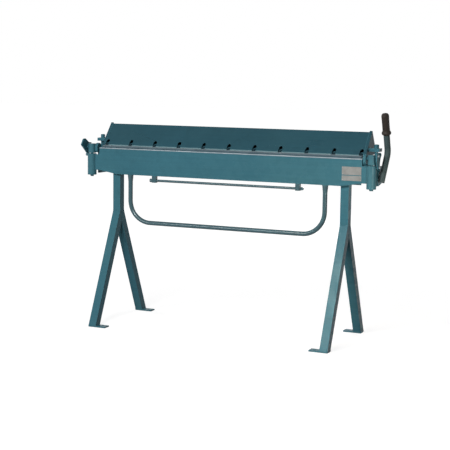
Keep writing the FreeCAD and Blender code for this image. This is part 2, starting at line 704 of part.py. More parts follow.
def make_knuckle(side, sign):
    """The knuckle on the pivot pin, with its adjusting screw running down the sleeve."""
    x = f"{sign} * sleeve_x"
    rod = upright_rod(f"knuckle_rod_{side}", "knuckle_radius", "knuckle_bottom", "knuckle_top", x, "leaf_y")
    low, high = span(sign, "sleeve_x - knuckle_radius - 1", "sleeve_x + knuckle_radius + 1")
    pin_bore = cross_rod(f"knuckle_bore_{side}", "pin_radius + pin_fit", low, high, "pivot_y", "bed_height")
    shank = upright_rod(f"screw_shank_{side}", "screw_radius", "sleeve_bottom", "knuckle_bottom", x, "leaf_y")
    head = hexagon(f"screw_head_{side}", "screw_flats", "sleeve_bottom - screw_head", "sleeve_bottom",
                   x, "leaf_y")
    keep(fuse(f"knuckle_{side}", [cut(f"knuckle_drilled_{side}", rod, pin_bore), shank, head]))


def make_pull_bar():
    """The U-shaped bar under the leaf: two uprights with collars, two bends and the lower run."""
    members = []
    for side, sign in SIDES.items():
        x = f"{sign} * bar_x"
        members.append(upright_rod(f"bar_upright_{side}", "bar_radius", "bar_bottom + bar_bend",
                                   "leaf_bottom", x, "leaf_y"))
        collar = doc.addObject("Part::Cone", f"bar_collar_{side}")
        bind(collar, Radius1="bar_radius", Radius2="collar_top", Height="collar_length")
        place(collar, x, "leaf_y", "leaf_bottom - collar_length")
        members.append(collar)
        bend = doc.addObject("Part::Torus", f"bar_corner_{side}")
        bend.Angle3 = 90
        bind(bend, Radius1="bar_bend", Radius2="bar_radius")
        turn(bend, FreeCAD.Vector(1, 0, 0), -90)
        if sign < 0:
            bend.Placement.Rotation = FreeCAD.Rotation(FreeCAD.Vector(0, 0, 1), 180).multiply(
                FreeCAD.Rotation(FreeCAD.Vector(1, 0, 0), -90))
        place(bend, f"{sign} * (bar_x - bar_bend)", "leaf_y", "bar_bottom + bar_bend")
        members.append(bend)
    members.append(cross_rod("bar_run", "bar_radius", "-(bar_x - bar_bend)", "bar_x - bar_bend",
                             "leaf_y", "bar_bottom"))
    keep(fuse("pull_bar", members))


def make_stop():
    """The stop rod under the leaf's edge with its head and eye, in the two brackets it is welded to."""
    members = [cross_rod("rod_bar", "rod_radius", "-rod_left_end", "rod_right_end", "leaf_y", "rod_z"),
               cross_rod("rod_head", "rod_head_radius", "-rod_left_end", "-rod_left_end + rod_head_length",
                         "leaf_y", "rod_z")]
    for side, sign in SIDES.items():
        centre = f"{sign} * bracket_x"
        half = "bracket_width / 2"
        members.append(block(f"bracket_{side}", (f"{centre} - {half}", f"{centre} + {half}"),
                             ("leaf_y - bracket_thick / 2", "leaf_y + bracket_thick / 2"),
                             ("rod_z - bracket_drop", "leaf_bottom")))
    eye = doc.addObject("Part::Cylinder", "rod_eye")
    turn(eye, FreeCAD.Vector(1, 0, 0), 90)
    bind(eye, Radius="eye_radius", Height="eye_thick")
    place(eye, "rod_right_end + eye_radius - 1", "leaf_y + eye_thick / 2", "rod_z")
    members.append(eye)
    keep(fuse("stop_rod", members))


def make_cross_shaft():
    """The cross shaft with a crank welded to each of its ends."""
    members = [cross_rod("shaft_bar", "shaft_radius", "-crank_inner", "crank_inner", "shaft_y", "shaft_z")]
    for side, sign in SIDES.items():
        low, high = span(sign, "crank_inner", "crank_inner + crank_thick")
        members.append(cross_rod(f"crank_disc_{side}", "crank_radius", low, high, "shaft_y", "shaft_z"))
        reach = "lever_inner" if sign > 0 else "strap_outer + pin_over"
        low, high = span(sign, "crank_inner + crank_thick", reach)
        members.append(cross_rod(f"crank_pin_{side}", "crank_pin_radius", low, high,
                                 "crank_y", "crank_z"))
    keep(fuse("cross_shaft", members))


def make_lever():
    """The clamping lever: plate on the right crank pin, bent tube and dark grip."""
    corners = [(f"shaft_y + ({back})", f"shaft_z + ({up})") for back, up in LEVER_PLATE]
    side_plate("lever_plate", "lever_inner", "lever_outer", corners)
    foot = point("lever_outer + tube_radius", "pivot_y + lever_foot_back", "bed_height - lever_foot_drop")
    bend = point("lever_bend_x", "pivot_y + lever_bend_back", "bed_height + lever_bend_rise")
    tip = point("lever_bend_x", "pivot_y + lever_tip_back", "bed_height + lever_tip_rise")
    tube_radius = size_of("tube_radius")
    way = (tip - bend).normalize()
    grip_low = tip - way * size_of("grip_length")
    tube_piece = doc.addObject("Part::Feature", "lever_tube")
    tube_piece.Shape = bent_rod(foot, bend, grip_low, tube_radius, size_of("lever_bend_radius"))
    keep(tube_piece)
    collar = Part.makeCylinder(size_of("grip_collar_radius"), size_of("grip_collar_length"), grip_low, way)
    handle = Part.makeCylinder(size_of("grip_radius"), size_of("grip_length"), grip_low, way)
    grip_piece = doc.addObject("Part::Feature", "lever_grip")
    grip_piece.Shape = collar.fuse(handle)
    keep(grip_piece)


def bent_rod(start, corner, end, radius, bend_radius):
    """A round rod of two straight runs joined by one bend."""
    first = (corner - start).normalize()
    second = (end - corner).normalize()
    half_turn = first.getAngle(second) / 2
    setback = bend_radius * math.tan(half_turn)
    before = corner - first * setback
    after = corner + second * setback
    inward = (second - first).normalize()
    middle = corner + inward * (bend_radius / math.cos(half_turn) - bend_radius)
    path = Part.Wire([Part.LineSegment(start, before).toShape(), Part.Arc(before, middle, after).toShape(),
                      Part.LineSegment(after, end).toShape()])
    ring = Part.Wire([Part.Circle(start, first, radius).toShape()])
    return path.makePipeShell([ring], True, False)


def build():
    """Makes every piece of the machine."""
    fill_sheet()
    for side, sign in SIDES.items():
        make_leg_frame(side, sign)
        make_end(side, sign)
    make_bed()
    make_clamp()
    make_leaf()
    make_pull_bar()
    make_stop()
    make_cross_shaft()
    make_lever()
    doc.recompute()


def check():
    """Stops if an object failed or a piece has no sound shape."""
    for obj in doc.Objects:
        for fault in ("Invalid", "Error"):
            if fault in obj.State:
                raise RuntimeError(f"{obj.Label} failed: {obj.State}")
    for piece in pieces:
        if piece.Shape.isNull() or not piece.Shape.isValid():
            raise RuntimeError(f"{piece.Label} has no sound shape")


def write():
    """Writes each piece to its own file."""
    os.makedirs("parts", exist_ok=True)
    for piece in pieces:
        piece.Shape.exportStep(f"parts/{piece.Label}.step")
        print(piece.Label, len(piece.Shape.Solids), round(piece.Shape.Volume))


build()
check()
write()
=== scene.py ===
import bpy
import bmesh
import json
import math
import random
from mathutils import Matrix, Vector


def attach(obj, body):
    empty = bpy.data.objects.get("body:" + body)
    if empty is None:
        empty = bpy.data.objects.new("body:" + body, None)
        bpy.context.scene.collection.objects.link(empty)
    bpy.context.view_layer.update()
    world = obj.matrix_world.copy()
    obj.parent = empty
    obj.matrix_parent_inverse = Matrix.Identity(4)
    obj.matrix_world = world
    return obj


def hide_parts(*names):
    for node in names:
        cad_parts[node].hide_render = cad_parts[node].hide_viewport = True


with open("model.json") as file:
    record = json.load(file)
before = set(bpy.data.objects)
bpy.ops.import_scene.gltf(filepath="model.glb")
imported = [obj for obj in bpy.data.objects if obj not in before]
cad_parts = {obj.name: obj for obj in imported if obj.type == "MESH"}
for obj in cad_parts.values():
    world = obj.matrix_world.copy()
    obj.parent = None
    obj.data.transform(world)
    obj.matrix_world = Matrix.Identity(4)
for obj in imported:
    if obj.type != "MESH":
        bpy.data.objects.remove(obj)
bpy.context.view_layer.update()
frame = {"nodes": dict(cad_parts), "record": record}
NODES = frame["nodes"]
MM = 0.001

# Places of the machine in millimetres: X along the fold, Y to the rear, Z up from the floor.
BED = 779.5
HALF = 610.0
GUSSET_FACE = 622.0
END_PLATE_FACE = 623.0
LEVER_PLATE_FACE = 674.0
PIVOT_BOLT_X = 686.9
PIVOT_Y = -28.4
LEAF_FRONT = -38.4
LEAF_Y = -33.4
LEAF_BOTTOM = 661.0
LEAF_THICK = 10.0
SLEEVE_X = 658.0
SLEEVE_R = 20.0
SLEEVE_BOTTOM = 653.9
SLEEVE_WELD_LOW = 677.0
SLEEVE_WELD_TOP = 745.0
PULL_BAR_X = 459.5
BRACKET_X = 339.0
POST_X = 539.5
TUBE = 36.0
FOOT_THICK = 6.0
SPLAY = 496.0
CROTCH = 444.4
LEG_OUTER = 234.5
LEG_INNER = 195.29
SHAFT = (61.6, 705.0)
BLADE_TOP = 786.8
SCREW_Y = 4.6
NOTCHES = 11
NOTCH_PITCH = 120.0
SLOPE_FOOT = (-1.9, 790.6)
RIDGE = (74.1, 882.0)
EAR_FRONT = 29.6
EAR_REAR = 69.6
EAR_LOW = 803.0
EAR_TOP = 817.0
GRIP_LENGTH = 90.0
LEVER_TIP = (701.0, PIVOT_Y + 14.5, BED + 183.0)
LEVER_BEND = (701.0, PIVOT_Y + 71.0, BED + 22.5)
SIDES = {"left": -1, "right": 1}

# Edges: the angles from which they are shaded sharp and bevelled, and widths in metres.
SHARP_ANGLE = math.radians(38)
BEVEL_ANGLE = math.radians(32)
EDGE_BREAK = 0.0007
JOIN_DISTANCE = 0.00001
# The width of the lighter edges on enamel: partly rubbed wear, partly a painted highlight.
EDGE_WEAR_AND_HIGHLIGHT_WIDTH = 0.0016
BOLT_RUB_WIDTH = 0.0007

# Heights in metres: below the first the sloping plate's lip is painted lighter as a highlight, and above
# the second the blade's top is painted lighter as a highlight.
LIP_HIGHLIGHT_BELOW = 0.7904
BLADE_HIGHLIGHT_ABOVE = 0.7862
TONE_STEP = 0.0004

# Colours of the painted highlights, of tarnish and of the clamp, as linear red, green and blue.
LIP_HIGHLIGHT = (0.145, 0.235, 0.255)
TOP_HIGHLIGHT = (0.31, 0.38, 0.40)
TARNISH = (0.10, 0.085, 0.07)
CLAMP_TONES = ((0.024, 0.078, 0.103), (0.019, 0.065, 0.087), (0.08, 0.15, 0.175))

# The photograph's view: yaw, pitch and roll in degrees, place in metres, focal length in millimetres.
VIEW_ANGLES = (24.419, 7.121, 0.792)
VIEW_PLACE = (2.15106, -4.75919, 1.11384)
VIEW_LENS = 96.871


# Meshes


def add_object(name, bm, material, body, smooth=True):
    """Turns a bmesh in metres into a piece that rides on a body."""
    mesh = bpy.data.meshes.new(name)
    bmesh.ops.recalc_face_normals(bm, faces=bm.faces)
    bm.to_mesh(mesh)
    bm.free()
    for face in mesh.polygons:
        face.use_smooth = smooth
    if smooth:
        mesh.set_sharp_from_angle(angle=SHARP_ANGLE)
    mesh.materials.append(material)
    obj = bpy.data.objects.new(name, mesh)
    bpy.context.scene.collection.objects.link(obj)
    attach(obj, body)
    return obj


def aim(origin, direction):
    """A matrix that stands the Z axis along a direction at a place given in millimetres."""
    turn = Vector((0, 0, 1)).rotation_difference(Vector(direction)).to_matrix().to_4x4()
    return Matrix.Translation(Vector(origin) * MM) @ turn


def skin(bm, rings):
    """Joins neighbouring rings of the same number of points, and closes both ends."""
    for low, high in zip(rings, rings[1:]):
        count = len(low)
        for i in range(count):
            j = (i + 1) % count
            bm.faces.new((low[i], low[j], high[j], high[i]))
    bm.faces.new(rings[0][::-1])
    bm.faces.new(rings[-1])


def rings_from(bm, matrix, outlines):
    """Adds one ring of points per outline, each a list of (x, y, z) in millimetres."""
    return [[bm.verts.new(matrix @ (Vector(p) * MM)) for p in outline] for outline in outlines]


def circle(radius, z, count):
    """Points of a circle about the Z axis."""
    angles = [2 * math.pi * i / count for i in range(count)]
    return [(radius * math.cos(angle), radius * math.sin(angle), z) for angle in angles]


def add_lathe(bm, matrix, profile, count=40):
    """A body of revolution: profile is (radius, height); its ends are closed."""
    rings = rings_from(bm, matrix, [circle(r, z, count) for r, z in profile])
    skin(bm, rings)


def hexagon_reach(flats, angle):
    """How far a hexagon of some width across its flats reaches at an angle."""
    offset = (angle % (math.pi / 3)) - math.pi / 6
    return flats / 2 / math.cos(offset)


def add_hex_head(bm, matrix, flats, height, bottom):
    """A hexagonal head with the curved chamfer of a real one, of 30 degrees."""
    count = 48
    crown = flats / 2 * 0.94
    slope = math.tan(math.radians(30))
    sides, shoulders = [], []
    for i in range(count):
        angle = 2 * math.pi * i / count
        radius = hexagon_reach(flats, angle)
        x, y = radius * math.cos(angle), radius * math.sin(angle)
        sides.append((x, y, bottom))
        shoulders.append((x, y, bottom + height - (radius - crown) * slope))
    rings = rings_from(bm, matrix, [sides, shoulders, circle(crown, bottom + height, count)])
    skin(bm, rings)


def add_hex_bolt(bm, origin, direction, flats, washer=True):
    """A hexagonal head, with a washer under it if asked for."""
    matrix = aim(origin, direction)
    thick = 1.6 if washer else 0.0
    if washer:
        wide = flats * 0.62 + 2.0
        low_edge = [(wide - 0.3, -0.2), (wide, 0.1)]
        top_edge = [(wide, thick - 0.3), (wide - 0.3, thick)]
        add_lathe(bm, matrix, low_edge + top_edge)
    add_hex_head(bm, matrix, flats, flats * 0.55, thick)


def add_cap_screw(bm, origin, radius, height, socket):
    """A socket head cap screw standing on Z, with its hexagonal socket."""
    matrix = aim(origin, (0, 0, 1))
    count = 36
    socket_floor = height * 0.45
    hexagon_top, hexagon_low = [], []
    for i in range(count):
        angle = 2 * math.pi * i / count
        reach = hexagon_reach(socket, angle)
        hexagon_top.append((reach * math.cos(angle), reach * math.sin(angle), height))
        hexagon_low.append((reach * math.cos(angle), reach * math.sin(angle), socket_floor))
    rings = rings_from(bm, matrix, [
        circle(radius, 0, count), circle(radius, height - 1.0, count), circle(radius - 0.8, height, count),
        circle(socket / 2 + 1.0, height, count), hexagon_top, hexagon_low])
    skin(bm, rings)


def add_bead(bm, points, radius, rng, pitch=2.6, closed=False):
    """A weld bead along a line of points in millimetres, with the ripples of its passes."""
    askew = Vector((0.31, 0.52, 0.79))
    turns = [2 * math.pi * i / 6 for i in range(6)]
    path = [Vector(p) for p in points]
    if closed:
        path.append(path[0])
    stations = []
    for a, b in zip(path, path[1:]):
        run = b - a
        steps = max(1, int(run.length / (pitch / 2)))
        stations += [(a + run * (i / steps), run.normalized()) for i in range(steps)]
    stations.append((path[-1], (path[-1] - path[-2]).normalized()))
    rings = []
    for number, (centre, along) in enumerate(stations):
        side = along.cross(askew).normalized()
        upright = along.cross(side)
        swell = 1.0 if number % 2 else 0.84
        size = radius * swell * rng.uniform(0.93, 1.07)
        if not closed and number in (0, len(stations) - 1):
            size *= 0.5
        around = [(side * math.cos(turn) + upright * math.sin(turn)) * size for turn in turns]
        rings.append([bm.verts.new((centre + out) * MM) for out in around])
    skin(bm, rings)


def add_plate(bm, low, high, bevel):
    """A flat plate between two corners in millimetres, with its outer edges broken."""
    box = bmesh.ops.create_cube(bm, size=1.0)["verts"]
    size = (Vector(high) - Vector(low)) * MM
    middle = (Vector(high) + Vector(low)) * 0.5 * MM
    for vert in box:
        vert.co = Vector((vert.co[k] * size[k] for k in range(3))) + middle
    edges = {edge for vert in box for edge in vert.link_edges}
    bmesh.ops.bevel(bm, geom=list(edges), offset=bevel * MM, segments=2, affect="EDGES", profile=0.5)


# Materials


class Shader:
    """A material built from nodes."""

    def __init__(self, name):
        self.material = bpy.data.materials.new(name)
        self.material.use_nodes = True
        self.tree = self.material.node_tree
        self.surface = self.tree.nodes["Principled BSDF"]
        self.place = self.add("ShaderNodeTexCoord").outputs["Object"]

    def add(self, kind, sockets=None, **settings):
        """A node with its settings, and its sockets set or linked."""
        node = self.tree.nodes.new(kind)
        for key, setting in settings.items():
            setattr(node, key, setting)
        for key, value in (sockets or {}).items():
            self.join(value, node.inputs[key])
        return node

    def join(self, value, socket):
        """Links a socket to another one's output, or sets its number."""
        if isinstance(value, bpy.types.NodeSocket):
            self.tree.links.new(value, socket)
        else:
            socket.default_value = value

    def set(self, **sockets):
        """Sets or links the surface's own sockets."""
        for key, value in sockets.items():
            self.join(value, self.surface.inputs[key.replace("_", " ")])

    def noise(self, scale, detail=3.0, rough=0.5, stretch=(1, 1, 1)):
        """Noise in the part's own space, per metre."""
        place = self.add("ShaderNodeMapping", {"Vector": self.place, "Scale": stretch}).outputs["Vector"]
        node = self.add("ShaderNodeTexNoise", {"Vector": place, "Scale": scale, "Detail": detail,
                                               "Roughness": rough})
        return node.outputs["Fac"]

    def ramp(self, value, low, high, start=0.0, end=1.0):
        """Maps low to high onto start to end, and holds the ends."""
        node = self.add("ShaderNodeMapRange", {"Value": value, "From Min": low, "From Max": high,
                                               "To Min": start, "To Max": end})
        return node.outputs["Result"]

    def maths(self, kind, a, b):
        """A sum, product or the like of two values."""
        node = self.add("ShaderNodeMath", operation=kind)
        self.join(a, node.inputs[0])
        self.join(b, node.inputs[1])
        return node.outputs["Value"]

    def times(self, a, b):
        """The product of two values."""
        return self.maths("MULTIPLY", a, b)

    def mix(self, share, a, b):
        """A colour between two colours, by the node's colour sockets 6, 7 and 2."""
        node = self.add("ShaderNodeMix", data_type="RGBA")
        self.join(share, node.inputs[0])
        self.join(a, node.inputs[6])
        self.join(b, node.inputs[7])
        return node.outputs[2]

    def height(self, level, start=0.0, end=1.0):
        """A change of tone at some height above the floor, in metres."""
        parts = self.add("ShaderNodeSeparateXYZ", {"Vector": self.place})
        return self.ramp(parts.outputs["Z"], level, level + TONE_STEP, start, end)

    def bump(self, height, strength, distance, normal=None):
        """A bump of some distance in metres, over another one if given."""
        node = self.add("ShaderNodeBump", {"Height": height, "Strength": strength, "Distance": distance})
        if normal is not None:
            self.join(normal, node.inputs["Normal"])
        return node.outputs["Normal"]

    def edges(self, radius):
        """1 on outer and inner edges, 0 on the flat."""
        soft = self.add("ShaderNodeBevel", {"Radius": radius}, samples=4).outputs["Normal"]
        flat = self.add("ShaderNodeNewGeometry").outputs["Normal"]
        dot = self.add("ShaderNodeVectorMath", operation="DOT_PRODUCT")
        self.join(soft, dot.inputs[0])
        self.join(flat, dot.inputs[1])
        return self.ramp(dot.outputs["Value"], 0.86, 0.985, 1.0, 0.0)


def rgb(red, green, blue):
    """A colour as four numbers."""
    return (red, green, blue, 1.0)


def tone(colour, factor):
    """A lighter or darker colour, as four numbers."""
    return rgb(*(c * factor for c in colour))


def make_paint(name, base, deep, edge, rough, shine=0.055, highlight_below=None):
    """Satin enamel: cloudy tone, brush marks along the fold, edges lighter by rubbed wear and by a painted
    highlight, a few scratches, grime, and below a given height a lip painted lighter as a highlight.
    """
    s = Shader(name)
    cloud = s.ramp(s.noise(2.6, 4.0, 0.55), 0.32, 0.68)
    blotch = s.ramp(s.noise(34.0, 3.0, 0.6), 0.35, 0.7)
    colour = s.mix(cloud, rgb(*deep), rgb(*base))
    warm = s.times(s.ramp(s.noise(1.7, 3.0, 0.6, (1.0, 1.0, 2.2)), 0.42, 0.66), 0.55)
    colour = s.mix(warm, colour, rgb(base[0] * 1.22, base[1] * 1.01, base[2] * 0.93))
    brush = s.ramp(s.noise(1.0, 3.0, 0.65, (2.2, 60.0, 120.0)), 0.42, 0.66)
    colour = s.mix(s.times(brush, 0.16), colour, tone(base, 1.35))
    colour = s.mix(s.times(blotch, 0.22), colour, tone(base, 0.78))
    streak = s.ramp(s.noise(1.0, 4.0, 0.7, (9.0, 9.0, 340.0)), 0.66, 0.8)
    gate = s.ramp(s.noise(7.0, 2.0), 0.52, 0.66)
    scratch = s.times(s.times(streak, gate), 0.35)
    colour = s.mix(scratch, colour, rgb(*edge))
    # Edges are lighter: partly rubbed wear, partly a painted highlight along every edge.
    rim = s.edges(EDGE_WEAR_AND_HIGHLIGHT_WIDTH)
    lighter_edge_share = s.times(rim, s.ramp(s.noise(55.0, 4.0, 0.7), 0.38, 0.62, 0.12, 0.6))
    colour = s.mix(lighter_edge_share, colour, rgb(*edge))
    grime = s.times(s.ramp(s.noise(13.0, 5.0, 0.68), 0.56, 0.78), 0.3)
    colour = s.mix(grime, colour, tone(deep, 0.45))
    # Below a given height the colour turns lighter in mottled patches: a painted highlight along the lip.
    if highlight_below:
        lip_highlight = s.times(s.height(highlight_below, 1.0, 0.0), s.ramp(s.noise(30.0, 4.0, 0.7), 0.3, 0.6, 0.55, 0.9))
        colour = s.mix(lip_highlight, colour, rgb(*LIP_HIGHLIGHT))
    smears = s.maths("ADD", s.noise(18.0, 4.0, 0.6), s.times(scratch, 0.6))
    gloss = s.ramp(smears, 0.3, 0.8, rough - 0.05, rough + 0.13)
    peel = s.bump(s.noise(640.0, 2.0), 0.35, 0.00012)
    waves = s.bump(s.noise(22.0, 3.0), 0.5, 0.0005, peel)
    s.set(Base_Color=colour, Roughness=gloss, Normal=waves, Metallic=0.02, Specular_IOR_Level=shine)
    return s.material


def make_bare_steel(name, dull, bright, highlight_above=None):
    """Ground steel: fine lines along the fold, dull patches, a little brown tarnish, and where a height is
    given a top painted lighter as a highlight.
    """
    s = Shader(name)
    lines = s.noise(1.0, 3.0, 0.6, (6.0, 900.0, 900.0))
    patch = s.ramp(s.noise(16.0, 4.0, 0.6), 0.35, 0.68)
    colour = s.mix(patch, rgb(*dull), rgb(*bright))
    rust = s.times(s.ramp(s.noise(46.0, 5.0, 0.7), 0.6, 0.76), 0.35)
    colour = s.mix(rust, colour, rgb(*TARNISH))
    # Above a given height the top is lighter: a painted highlight where light from above falls.
    if highlight_above:
        colour = s.mix(s.height(highlight_above), colour, rgb(*TOP_HIGHLIGHT))
    s.set(Base_Color=colour, Metallic=0.35, Roughness=s.ramp(lines, 0.25, 0.75, 0.38, 0.58),
          Normal=s.bump(lines, 0.4, 0.0001))
    return s.material


def make_bolt_steel(name, light, dark, metallic, rough):
    """Plated or oiled bolts: smudged tone and rubbed edges."""
    s = Shader(name)
    smudge = s.ramp(s.noise(120.0, 4.0, 0.6), 0.35, 0.68)
    colour = s.mix(smudge, rgb(*dark), rgb(*light))
    lighter_edge_share = s.times(s.edges(BOLT_RUB_WIDTH), 0.5)
    colour = s.mix(lighter_edge_share, colour, tone(light, 1.5))
    smears = s.ramp(s.noise(260.0), 0.3, 0.7, rough - 0.08, rough + 0.12)
    s.set(Base_Color=colour, Metallic=metallic, Roughness=smears,
          Normal=s.bump(s.noise(900.0, 2.0), 0.3, 0.00008))
    return s.material


def make_rubber():
    """The grip: brown-black rubber, cloudy in tone, with a fine grain and a roughness that varies at
    random.
    """
    s = Shader("grip_rubber")
    cloud = s.ramp(s.noise(70.0, 4.0, 0.6), 0.35, 0.7)
    colour = s.mix(cloud, rgb(0.010, 0.0066, 0.0045), rgb(0.019, 0.0128, 0.0085))
    grain = s.noise(1500.0, 2.0)
    s.set(Base_Color=colour, Roughness=s.ramp(s.noise(40.0), 0.3, 0.7, 0.5, 0.68),
          Normal=s.bump(grain, 0.5, 0.00012), Specular_IOR_Level=0.25)
    return s.material


def make_name_plate():
    """A bare plate of brushed aluminium, slightly yellowed, with fine lines along it."""
    s = Shader("name_plate")
    lines = s.noise(1.0, 3.0, 0.6, (14.0, 1100.0, 1100.0))
    cloud = s.ramp(s.noise(40.0, 4.0, 0.6), 0.35, 0.7)
    colour = s.mix(cloud, rgb(0.136, 0.139, 0.130), rgb(0.184, 0.187, 0.176))
    colour = s.mix(s.times(lines, 0.12), colour, rgb(0.14, 0.145, 0.14))
    s.set(Base_Color=colour, Metallic=0.15, Roughness=s.ramp(lines, 0.3, 0.7, 0.36, 0.5),
          Normal=s.bump(lines, 0.25, 0.00006))
    return s.material


# Each paint has a base tone, a deeper one, the tone of its scratches and lighter edges (rubbed wear and
# painted highlight), its roughness and its shine.
PAINT = make_paint("teal_enamel", (0.040, 0.135, 0.172), (0.033, 0.112, 0.146), (0.11, 0.22, 0.25), 0.26)
HINGE_PAINT = make_paint(
    "hinge_enamel", (0.040, 0.133, 0.166), (0.033, 0.110, 0.142), (0.12, 0.23, 0.25), 0.34, 0.13)
BAR_PAINT = make_paint(
    "bar_enamel", (0.036, 0.092, 0.112), (0.030, 0.078, 0.096), (0.11, 0.20, 0.23), 0.14, 0.32)
CLAMP_PAINT = make_paint("clamp_enamel", *CLAMP_TONES, 0.33)
# The sloping plate's lip is painted lighter as a highlight.
SLOPE_PAINT = make_paint("slope_enamel", *CLAMP_TONES, 0.33, highlight_below=LIP_HIGHLIGHT_BELOW)
LEVER_PAINT = make_paint(
    "lever_enamel", (0.054, 0.083, 0.087), (0.041, 0.065, 0.069), (0.12, 0.17, 0.175), 0.36)
BARE = make_bare_steel("bare_strip", (0.165, 0.205, 0.23), (0.245, 0.29, 0.32))
# The blade's top flat is painted lighter as a highlight.
BLADE = make_bare_steel("clamp_steel", (0.046, 0.080, 0.100), (0.074, 0.116, 0.142), BLADE_HIGHLIGHT_ABOVE)
DARK = make_bolt_steel("dark_steel", (0.075, 0.085, 0.09), (0.035, 0.04, 0.043), 0.6, 0.45)
# Near-black screws: partly their own dark finish, partly painted shade of the dark notches they sit in.
NOTCH_SCREW_DARK_AND_SHADE = make_paint("screw_dark_and_painted_shade", (0.012, 0.034, 0.046), (0.008, 0.024, 0.034), (0.03, 0.06, 0.07), 0.40)
ZINC = make_bolt_steel("zinc_bolts", (0.26, 0.29, 0.30), (0.17, 0.19, 0.20), 0.6, 0.42)
RUBBER = make_rubber()
PLATE = make_name_plate()

# The finish of each slot, and of the nodes whose tone differs from their slot's.
SLOT_MATERIALS = {"teal_paint": PAINT, "bare_steel": BARE, "dark_steel": DARK, "dark_rubber": RUBBER}
OWN_MATERIALS = {"clamp_blade": BLADE, "clamp_front_plate": SLOPE_PAINT, "clamp_rear_plate": CLAMP_PAINT,
                 "clamp_base_bar": CLAMP_PAINT, "gusset_left": CLAMP_PAINT, "gusset_right": CLAMP_PAINT,
                 "knuckle_left": HINGE_PAINT, "knuckle_right": HINGE_PAINT,
                 "pull_bar": BAR_PAINT, "stop_rod": BAR_PAINT, "lever_tube": LEVER_PAINT}


def dress_nodes():
    """Gives each CAD node its finish and breaks its sharp edges."""
    slots = {part["node"]: part["material_slot"] for part in frame["record"]["subparts"]}
    for name, obj in NODES.items():
        for index in range(len(obj.material_slots)):
            obj.material_slots[index].link = "OBJECT"
            obj.material_slots[index].material = OWN_MATERIALS.get(name, SLOT_MATERIALS[slots[name]])
        weld = obj.modifiers.new("join", "WELD")
        weld.merge_threshold = JOIN_DISTANCE
        bevel = obj.modifiers.new("edges", "BEVEL")
        bevel.width = EDGE_BREAK
        bevel.segments = 2
        bevel.limit_method = "ANGLE"
        bevel.angle_limit = BEVEL_ANGLE
        bevel.use_clamp_overlap = True
        obj.modifiers.new("shade", "WEIGHTED_NORMAL")


# Pieces


def make_notch_bolts():
    """The cap screws that hold the blade, one in each notch."""
    bm = bmesh.new()
    first = -NOTCH_PITCH * (NOTCHES - 1) / 2
    for number in range(NOTCHES):
        add_cap_screw(bm, (first + number * NOTCH_PITCH, SCREW_Y, BLADE_TOP), 6.5, 9.0, 6.0)
    # The screws are painted near-black, partly as shade of the notch.
    add_object("blade_screws", bm, NOTCH_SCREW_DARK_AND_SHADE, "clamp", False)


def make_end_bolts():
    """Bolts of the pivot plates, and of the lever's plate."""
    upper = {"left": (PIVOT_Y - 40, BED + 8), "right": (PIVOT_Y - 19, BED + 11)}
    for side, sign in SIDES.items():
        bm = bmesh.new()
        for y, z in (upper[side], (PIVOT_Y, BED - 36)):
            add_hex_bolt(bm, (sign * PIVOT_BOLT_X, y, z), (sign, 0, 0), 10.0, False)
        add_object(f"pivot_plate_bolts_{side}", bm, ZINC, "frame", False)
    bm = bmesh.new()
    add_hex_bolt(bm, (LEVER_PLATE_FACE, SHAFT[0], SHAFT[1]), (1, 0, 0), 17.0)
    add_hex_bolt(bm, (LEVER_PLATE_FACE, PIVOT_Y + 50, 711), (1, 0, 0), 13.0)
    add_object("lever_plate_bolts", bm, ZINC, "lever", False)


def make_name_plates():
    """Two bare plates riveted to the leaf, one above the other."""
    bm = bmesh.new()
    rivets = bmesh.new()
    left, right, inset = 532, 616, 3.5
    rivet_profile = [(1.6, 0.0), (1.6, 0.3), (1.2, 0.8), (0.5, 1.0)]
    for low, high in ((709.0, 742.5), (685.0, 706.0)):
        add_plate(bm, (left, LEAF_FRONT - 1.0, low), (right, LEAF_FRONT + 0.2, high), 0.3)
        for x in (left + inset, right - inset):
            for z in (low + inset, high - inset):
                add_lathe(rivets, aim((x, LEAF_FRONT - 0.9, z), (0, -1, 0)), rivet_profile, 16)
    add_object("name_plates", bm, PLATE, "leaf", False)
    add_object("name_plate_rivets", rivets, ZINC, "leaf")


def make_sleeves():
    """The turned face of each adjuster sleeve, with its chamfers, over the plain solid."""
    bm = bmesh.new()
    for sign in SIDES.values():
        profile = [(8.0, 0.4), (18.6, 0.4), (20.15, 1.9), (20.15, 93.9), (18.9, 95.2), (8.0, 95.2)]
        add_lathe(bm, aim((sign * SLEEVE_X, LEAF_Y, SLEEVE_BOTTOM), (0, 0, 1)), profile, 64)
    add_object("sleeve_faces", bm, HINGE_PAINT, "leaf")


def make_grip():
    """The lever's grip: a collar, a waist and a domed end, in place of the plain solid."""
    tip = Vector(LEVER_TIP)
    way = (tip - Vector(LEVER_BEND)).normalized()
    foot = tip - way * GRIP_LENGTH
    profile = [(13.2, 0.0), (17.0, 0.0), (18.8, 1.4), (19.4, 4.0), (19.4, 8.0), (18.5, 11.0), (16.6, 13.2),
               (15.6, 15.5), (15.3, 22.0), (15.2, 40.0), (15.4, 60.0), (15.8, 74.0), (15.9, 79.0),
               (15.3, 83.5), (13.6, 87.0), (10.4, 89.2), (5.0, 90.0), (1.0, 90.0)]
    bm = bmesh.new()
    add_lathe(bm, aim(foot, way), profile, 40)
    grip = add_object("grip", bm, RUBBER, "lever")
    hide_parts("lever_grip")


